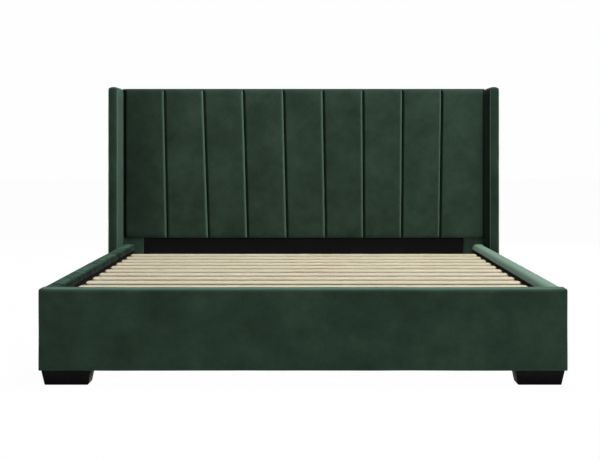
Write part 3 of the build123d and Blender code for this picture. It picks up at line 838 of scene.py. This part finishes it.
def rail_section(outer_round, inner_round):
    """Loop round a right-hand rail: up its inside, over it, down its outside, back through the pocket."""
    inside, outside, top, bottom = rail_low.x, rail_high.x, rail_high.z, rail_low.z
    lip = lining_high.z
    first_arc = arc(inside + inner_round, top - inner_round, inner_round, 180, 90, 5)
    second_arc = arc(outside - outer_round, top - outer_round, outer_round, 90, 0, 6)
    low_arc = arc(outside - bottom_round, bottom + bottom_round, bottom_round, 0, -90, 2)
    loop = [(inside, lip + corner_cut), *first_arc, *between(first_arc[-1], second_arc[0], 12 * mm),
            *second_arc, *between(second_arc[-1], low_arc[0], cell), *low_arc]
    pocket = [(rail_board_low.x, bottom), (rail_board_low.x, rail_board_low.z),
              (rail_board_high.x, rail_board_low.z), (rail_board_high.x, rail_board_high.z),
              (rail_board_low.x, rail_board_high.z), (rail_board_low.x, lip)]
    for before, corner, after in zip([low_arc[-1]] + pocket, pocket, pocket[1:] + [(inside, lip)]):
        for side in (before, after):
            share = corner_cut / math.dist(corner, side)
            loop.append(tuple(a + (b - a) * share for a, b in zip(corner, side)))
    return loop + [(inside + corner_cut, lip)]


def swept_skin(name, section, rows):
    """Tube of cloth: the section's loop of X-Z points, set up at each Y of the rows."""
    def place_of(u, v):
        x, z = section[round(u * len(section)) % len(section)]
        return x, rows[round(v * (len(rows) - 1))], z

    piece = grid(name, len(section), len(rows) - 1, place_of)
    enter_edit()
    bpy.ops.mesh.remove_doubles(threshold=0.01 * mm)
    leave_edit()
    return piece


def close_ends(piece):
    enter_edit()
    bpy.ops.mesh.fill_holes(sides=0)
    leave_edit()
    face_outward(piece)


def in_pocket(place):
    return rail_low.x + mm < place.x < rail_board_high.x + mm and place.z < rail_board_high.z + mm


def rail_cover(side, material, outer_round, inner_round, swell, pull_depth, pull_pitch, seed, marks):
    """Velvet and foam round one side rail, with a roll at each end and slanting pulls in the cloth; marks are
    the settings of paint_cover_light, which paints highlight and shade on the cover."""
    low, high = rail_low, rail_high
    rows = [low.y, *steps(low.y, high.y, cell), high.y]
    piece = swept_skin(f"velvet_rail_{side}", rail_section(outer_round, inner_round), rows)
    plump(piece, lambda place: place.z < low.z + 2 * mm or in_pocket(place)
          or place.z < lining_high.z + 2 * mm and place.x < low.x + 3 * mm
          or min(place.y - low.y, high.y - place.y) < mm, swell)
    apply(piece, "SUBSURF", levels=1, render_levels=1)
    core = Vector(((rail_board_low.x + high.x) / 2, 0, high.z - core_depth))
    for vertex in piece.data.vertices:
        place = vertex.co
        if in_pocket(place) or place.z < low.z + 8 * mm:
            continue
        from_end = min(place.y - low.y, high.y - place.y)
        inward = Vector((core.x - place.x, 0, core.z - place.z))
        height_share = share_of(place.z - low.z, high.z - low.z)
        fullness = roll(from_end + 2 * mm, rail_end_roll)
        slant = place.x * 0.8 + place.z * 0.6
        inner_share = share_of(core.x + 10 * mm - place.x, 20 * mm)
        pull = noise.noise(Vector(((place.y + slant) / pull_pitch, slant / pull_width, seed)))
        small = noise.noise(Vector((place.y / (0.4 * pull_pitch), place.z / small_pull_height, seed + 7)))
        pull += small_pull_share * small
        depth = (1 - fullness) * rail_end_drop * height_share
        depth += (0.3 - pull) * pull_depth * height_share ** 2 * inner_share
        if inward.length > 0:
            vertex.co += inward.normalized() * min(most_inward, max(-most_outward, depth))
    close_ends(piece)
    paint_cover_light(piece, **marks)
    if side == "left":
        mirror_piece(piece)
    finish(piece, material, "velvet", f"rail_cover_{side}", angle=80)


# Painted light: the left rail gets streaks of painted highlight on top and painted shade on its inner side;
# the right rail a broad painted highlight over its top and bends.
rail_cover("left", crushed_velvet, outer_round=9 * mm, inner_round=15 * mm, swell=2 * mm, pull_depth=6 * mm,
           pull_pitch=130 * mm, seed=5, marks={"bends": 0.2, "top": 0.75, "inside": -0.6, "top_edge": 2})
rail_cover("right", pale_painted_velvet, outer_round=15 * mm, inner_round=24 * mm, swell=4 * mm,
           pull_depth=1.2 * mm, pull_pitch=300 * mm, seed=9,
           marks={"bends": 0.4, "top": 1.0, "inside": 0.1, "top_edge": 2.2})

# %% [markdown]
# The footboard is a low board wrapped like the rails, with a soft roll along its top and rounded ends.

# %% Footboard cover
foot_low, foot_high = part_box("footboard_cover")
foot_board_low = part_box("footboard_board")[0]
foot_lining_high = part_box("footboard_lining")[1]
footboard_fold_widths = (11 * mm, 5 * mm, 9 * mm, 5 * mm, 4 * mm, 3 * mm, 3 * mm)
footboard = sliced_block("velvet_footboard", foot_low, foot_high, (cell, 20 * mm, cell))
foot_ends = (foot_low.x, foot_high.x)
footboard_folds = folds(footboard, [
    on(y=foot_low.y, z=foot_high.z), on(y=foot_low.y, x=foot_ends), on(z=foot_high.z, x=foot_ends),
    on(z=foot_high.z, y=foot_high.y), on(z=foot_low.z, y=foot_low.y), on(z=foot_low.z, x=foot_ends),
    on(y=foot_high.y, x=foot_ends)])
at_foot_end = on(x=foot_ends)
plump(footboard, lambda place: place.z < foot_low.z + mm or place.y > foot_high.y - mm or at_foot_end(place),
      3 * mm)
round_folds(footboard, footboard_folds, footboard_fold_widths)
uneven(footboard, amount=1.0 * mm, size=160 * mm, seed=4)
enter_edit()
pick(footboard, "faces", lambda face: face.normal.y > 0.9
     and abs(face.calc_center_median().x) < foot_lining_high.x
     and foot_board_low.z < face.calc_center_median().z < foot_lining_high.z)
bpy.ops.mesh.extrude_region_move(TRANSFORM_OT_translate={"value": (0, foot_board_low.y - foot_high.y, 0)})
leave_edit()
# Painted highlight along the footboard's top, where the light from above falls, and faintly on its bends.
paint_cover_light(footboard, bends=0.4, top=0.65, top_edge=8)
finish(footboard, outer_velvet, "velvet", "footboard_cover")

# %% [markdown]
# Two small padded pieces close the headboard: a strip along its top edge, and a margin on either side of
# the black lining, against which the rails end.

# %% Top border and margins
border_low, border_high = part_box("headboard_top_border")
border = sliced_block("velvet_top_border", border_low, border_high, (cell, 20 * mm, 8 * mm))
border_folds = folds(border, [on(z=border_high.z, y=border_low.y), on(z=border_high.z, y=border_high.y)])
plump(border, lambda place: place.z < border_low.z + mm, 1 * mm)
round_folds(border, border_folds, (4 * mm, 4 * mm))
# Painted highlight on the border's bends.
paint_cover_light(border)
finish(border, green_velvet, "velvet", "headboard_top_border")


def margin(side):
    low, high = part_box("headboard_margin_right")
    piece = sliced_block(f"velvet_margin_{side}", low, high, (cell, 13 * mm, cell))
    fold = folds(piece, [on(y=low.y, x=low.x), on(y=low.y, z=high.z)])
    plump(piece, lambda place: place.y > high.y - mm or place.z < low.z + mm, 2 * mm)
    round_folds(piece, fold, (6 * mm, 5 * mm))
    if side == "left":
        mirror_piece(piece)
    finish(piece, green_velvet, "velvet", f"headboard_margin_{side}")


for side in ("right", "left"):
    margin(side)

# %% [markdown]
# The slats are pine: planed on top, with rounded corners and eased edges. Their sides and ends are only
# sawn. Down each side the wood is painted browner the further it goes below the top, as painted shade, and
# the ends browner still, as end grain and painted shade. Each end is countersunk for its screw.
# One slat is modelled and the others are copies, each in the place of its own CAD node, and some carry more
# of this painted shade and end browning than others.

# %% Slats
slat_names = sorted(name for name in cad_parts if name.startswith("slat_") and name[5:].isdigit())
slat_low, slat_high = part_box(slat_names[0])
screw_inset = 12 * mm
screw_x = slat_high.x - screw_inset
slat_middle = (slat_low.y + slat_high.y) / 2
head_radius = 4.5 * mm
head_height = 3 * mm
shank_radius = 2.2 * mm
tip_radius = 0.3 * mm
slat_corner = 16 * mm
corner_reach = 17 * mm
shade_start_depth = 6 * mm
shade_full_depth = 10 * mm
sawn_side = 3 * mm
sawn_end = 6 * mm
tip_browning = 0.75
shade_per_slat = (1.0, 1.0, 1.0, 0.45, 0.6, 0.7, 0.5, 0.65, 0.6, 0.85, 0.5)


def end_cone(name, x, radius, top):
    """Upright cone, narrower below, as a countersink or a screw's head."""
    return new_piece(name, bpy.ops.mesh.primitive_cone_add, vertices=20, radius1=radius * 0.5,
                     radius2=radius, depth=head_height, location=(x, slat_middle, top - head_height / 2))


first_slat = cube("pine_slat_01", slat_low, slat_high)
level_edges = [on(z=slat_high.z), on(z=slat_low.z)]
corners = folds(first_slat, [*level_edges, lambda place: True])[2]
round_folds(first_slat, [corners], (slat_corner,))
round_folds(first_slat, folds(first_slat, level_edges), (6 * mm, 3 * mm))
enter_edit()
slice_up(0, steps(slat_low.x, slat_high.x, 120 * mm))
slice_up(0, (slat_low.x + corner_reach, slat_high.x - corner_reach))
slice_up(2, (slat_high.z - shade_start_depth, slat_high.z - shade_full_depth))
leave_edit()
for x in (-screw_x, screw_x):
    cutter = end_cone("countersink", x, head_radius + 0.4 * mm, slat_high.z + 0.1 * mm)
    apply(first_slat, "BOOLEAN", operation="DIFFERENCE", object=cutter)
    bpy.data.objects.remove(cutter)
slat_shade_values = first_slat.data.attributes.new("end_grain_and_painted_shade", "FLOAT", "POINT")
# Painted shade: each slat side darkens the further it goes below the top; its ends add the browner end grain.
for vertex in first_slat.data.vertices:
    depth = share_of(slat_high.z - vertex.co.z - shade_start_depth, shade_full_depth - shade_start_depth)
    at_side = min(vertex.co.y - slat_low.y, slat_high.y - vertex.co.y) < sawn_side
    at_end = slat_high.x - abs(vertex.co.x) < sawn_end
    tip = tip_browning if at_end and vertex.co.z < slat_high.z - mm else 0
    slat_shade_values.data[vertex.index].value = max(tip, depth) if at_side or at_end else 0
# Each slat gets its own share of this painted shade and end browning.
for name, this_slat_shade in zip(slat_names, shade_per_slat):
    slat = first_slat if name == slat_names[0] else copy_of(
        first_slat, f"pine_{name}", (0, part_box(name)[0].y - slat_low.y, 0))
    for mark in slat.data.attributes["end_grain_and_painted_shade"].data:
        mark.value *= this_slat_shade
    finish(slat, pine_across, "pine", name, angle=35)

# %% [markdown]
# The slats' screws are zinc-plated, countersunk and cross-recessed. The recess is cut by two thin bars.

# %% Slat screws
screw_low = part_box("slat_screws")[0].z
recess_length = 5.4 * mm
recess_width = 1.2 * mm
recess_depth = 1.8 * mm
screw = end_cone("screw_head", screw_x, head_radius, slat_high.z - 0.2 * mm)
for size in ((recess_length, recess_width), (recess_width, recess_length)):
    spot = Vector((screw_x, slat_middle, slat_high.z))
    reach = Vector((size[0] / 2, size[1] / 2, recess_depth))
    cutter = cube("recess", spot - reach, spot + reach)
    apply(screw, "BOOLEAN", operation="DIFFERENCE", object=cutter)
    bpy.data.objects.remove(cutter)
shank_top = slat_high.z - head_height
shank = new_piece("screw_shank", bpy.ops.mesh.primitive_cone_add, vertices=12, radius1=tip_radius,
                  radius2=shank_radius, depth=shank_top - screw_low,
                  location=(screw_x, slat_middle, (shank_top + screw_low) / 2))
screw = joined("slat_screw", [screw, shank])
screws = [screw]
for name in slat_names:
    for x in (0, -2 * screw_x):
        move = (x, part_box(name)[0].y - slat_low.y, 0)
        if x or name != slat_names[0]:
            screws.append(copy_of(screw, "slat_screw", move))
finish(joined("cross_recess_screws", screws), zinc_plate, "zinc_steel", "slat_screws", angle=35)

# %% [markdown]
# The four feet are solid blocks that taper towards the floor, with softly rounded corners under their satin
# lacquer.

# %% Feet
foot_taper = 10.5 * mm
foot_fold_widths = (3 * mm, 0.8 * mm, 5 * mm)


def satin_foot(name):
    """Tapered block foot in the box of its CAD node."""
    low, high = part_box(name)
    piece = cube(f"satin_{name}", low, high)
    middle = (low + high) / 2
    enter_edit()
    pick(piece, "faces", lambda face: face.normal.z < -0.9)
    narrow(1 - 2 * foot_taper / (high.x - low.x), 1 - 2 * foot_taper / (high.y - low.y), middle)
    leave_edit()
    foot_folds = folds(piece, [on(z=low.z), on(z=high.z), lambda place: True])
    round_folds(piece, foot_folds, foot_fold_widths, 3)
    finish(piece, foot_lacquer, "foot_wood", name, angle=50)


for end in ("front", "rear"):
    for side in ("left", "right"):
        satin_foot(f"{end}_foot_{side}")

# %% [markdown]
# Black lining is thin cloth stapled at its edges, so that it puckers between the staples and lies flat in
# the middle. Each sheet lies on its board, in the thickness of its CAD node.

# %% Linings
staple_pitch = 50 * mm
staple_inset = 8 * mm
staple_half_crown = 5 * mm
staple_half_wire = 0.5 * mm
lining_cell = 12.5 * mm
lining_sink = 1.1 * mm
pucker_reach = 30 * mm


def staple_row(start, end, out, along):
    """Row of staples between two points on a sheet: thin bevelled wires, flat on the cloth."""
    count = max(2, round((end - start).length / staple_pitch))
    crown = along * staple_half_crown + out.cross(along) * staple_half_wire
    corner = Vector([abs(part) for part in crown + out * 0.35 * mm])
    piece = cube("staples", start - corner, start + corner)
    apply(piece, "BEVEL", width=0.25 * mm, segments=1)
    apply(piece, "ARRAY", count=count, use_relative_offset=False, use_constant_offset=True,
          constant_offset_displace=(end - start) / (count - 1))
    return piece


def lining(node, across, face, pucker_depth, stapled=("bottom",), upright=2):
    """Puckered sheet in the box of its node. Across and upright are its axes, face the axis and the side
    that shows, and stapled its open edges."""
    low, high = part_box(node)
    axis, outward = face
    width, height = high[across] - low[across], high[upright] - low[upright]
    columns, rows = round(width / lining_cell), round(height / lining_cell)
    shown = high[axis] if outward > 0 else low[axis]

    def place_of(u, v):
        from_side, from_end = min(u, 1 - u) * width, min(v, 1 - v) * height
        edge = min(from_side, from_end)
        run = v * height if from_side < from_end else u * width
        pucker = 0.5 - 0.5 * math.cos(2 * math.pi * run / staple_pitch)
        lift = pucker * math.exp(-edge / pucker_reach) * pucker_depth
        lift += 0.5 * mm * noise.noise(Vector((u * width / (180 * mm), v * height / (120 * mm), width)))
        place = Vector((0, 0, 0))
        place[across] = low[across] + u * width
        place[upright] = low[upright] + v * height
        place[axis] = shown + outward * (lift - lining_sink)
        return place

    piece = grid(f"cloth_{node}", columns, rows, place_of)
    apply(piece, "SOLIDIFY", thickness=0.4 * mm, offset=0)
    face_outward(piece)
    finish(piece, black_lining, "lining_cloth", node, angle=80)
    out = Vector((0, 0, 0))
    out[axis] = outward
    edges = {"bottom": (across, upright, low[upright] + staple_inset),
             "top": (across, upright, high[upright] - staple_inset),
             "first_side": (upright, across, low[across] + staple_inset),
             "last_side": (upright, across, high[across] - staple_inset)}
    rows_of_staples = []
    for name in stapled:
        line_axis, step_axis, level = edges[name]
        along = Vector((0, 0, 0))
        along[line_axis] = 1
        start, end = low.copy(), high.copy()
        for point in (start, end):
            point[step_axis] = level
            point[axis] = shown - outward * 0.6 * mm
        start[line_axis] += 3 * staple_inset
        end[line_axis] -= 3 * staple_inset
        rows_of_staples.append(staple_row(start, end, out, along))
    if rows_of_staples:
        finish(joined(f"staples_{node}", rows_of_staples), zinc_plate, "zinc_steel", angle=30)


lining("headboard_back_lining", across=0, face=(1, 1), pucker_depth=0.9 * mm,
       stapled=("bottom", "top", "first_side", "last_side"))
lining("headboard_lower_lining", across=0, face=(1, -1), pucker_depth=0.1 * mm,
       stapled=())
lining("footboard_lining", across=0, face=(1, 1), pucker_depth=0.4 * mm)
lining("rail_lining_right", across=1, face=(0, -1), pucker_depth=0.4 * mm)
lining("rail_lining_left", across=1, face=(0, 1), pucker_depth=0.4 * mm)

# %% [markdown]
# A levelling glide is a moulded nylon disc on a threaded steel stem. The thread is cut as rings: every
# second ring of the stem is drawn in by its depth. The disc is dished a little and its rim is rounded.

# %% Levelling glides
thread_pitch = 1.5 * mm
thread_root_share = 0.86
stem_radius = 4.9 * mm
stem_sink = 2 * mm
disc_height = 10 * mm
disc_top_share = 0.82
dish_rim = 4 * mm
dish_depth = 1 * mm


def glide(place):
    """Nylon disc and threaded stem in the box of one CAD glide."""
    node = f"levelling_glide_{place}"
    low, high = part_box(node)
    middle = (low + high) / 2
    disc = new_piece(f"glide_disc_{place}", bpy.ops.mesh.primitive_cylinder_add, vertices=48,
                     radius=(high.x - low.x) / 2, depth=disc_height,
                     location=(middle.x, middle.y, low.z + disc_height / 2))
    enter_edit()
    pick(disc, "faces", lambda face: face.normal.z > 0.9)
    narrow(disc_top_share, disc_top_share, middle)
    bpy.ops.mesh.inset(thickness=dish_rim)
    bpy.ops.transform.translate(value=(0, 0, -dish_depth))
    leave_edit()
    apply(disc, "BEVEL", width=1.2 * mm, segments=3, limit_method="ANGLE")
    finish(disc, nylon, "glide_plastic", node, body=f"glide_{place}", angle=40)
    bottom = low.z + disc_height - stem_sink
    stem = new_piece(f"threaded_stem_{place}", bpy.ops.mesh.primitive_cylinder_add, vertices=24,
                     radius=stem_radius, depth=high.z - bottom,
                     location=(middle.x, middle.y, (high.z + bottom) / 2))
    levels = steps(bottom, high.z, thread_pitch / 2)
    enter_edit()
    slice_up(2, levels)
    pick(stem, "verts", lambda vertex: any(near(vertex.co.z, level, 0.1 * mm) for level in levels[1::2]))
    narrow(thread_root_share, thread_root_share, middle)
    leave_edit()
    finish(stem, zinc_plate, "zinc_steel", body=f"glide_{place}", angle=20)


for place in ("front", "middle", "rear"):
    glide(place)

# %% [markdown]
# The floor is one large sheet. It is white to the camera, and a small share of its own surface, lit by the
# lamps, keeps the shadow under the bed.

# %% Floor
floor_size = 60
glow_share = 0.98
floor = new_piece("floor", bpy.ops.mesh.primitive_plane_add, size=floor_size)
floor_material, floor_tree, floor_shader, _ = material_of("pale_studio_floor")
floor_shader.inputs["Base Color"].default_value = colour("#f2f2f0")
floor_shader.inputs["Roughness"].default_value = 0.9
floor_path = add(floor_tree, "ShaderNodeLightPath", {})
floor_glow = add(floor_tree, "ShaderNodeEmission", {"Color": colour("#ffffff"), "Strength": 1.0})
floor_share = add(floor_tree, "ShaderNodeMath", {0: floor_path.outputs["Is Camera Ray"], 1: glow_share},
                  operation="MULTIPLY")
floor_mix = add(floor_tree, "ShaderNodeMixShader", {0: floor_share.outputs[0], 1: floor_shader.outputs[0],
                                                    2: floor_glow.outputs[0]})
floor_output = next(node for node in floor_tree.nodes if node.type == "OUTPUT_MATERIAL")
floor_tree.links.new(floor_mix.outputs[0], floor_output.inputs["Surface"])
floor.data.materials.append(floor_material)
print("floor:", floor_size, "m square")
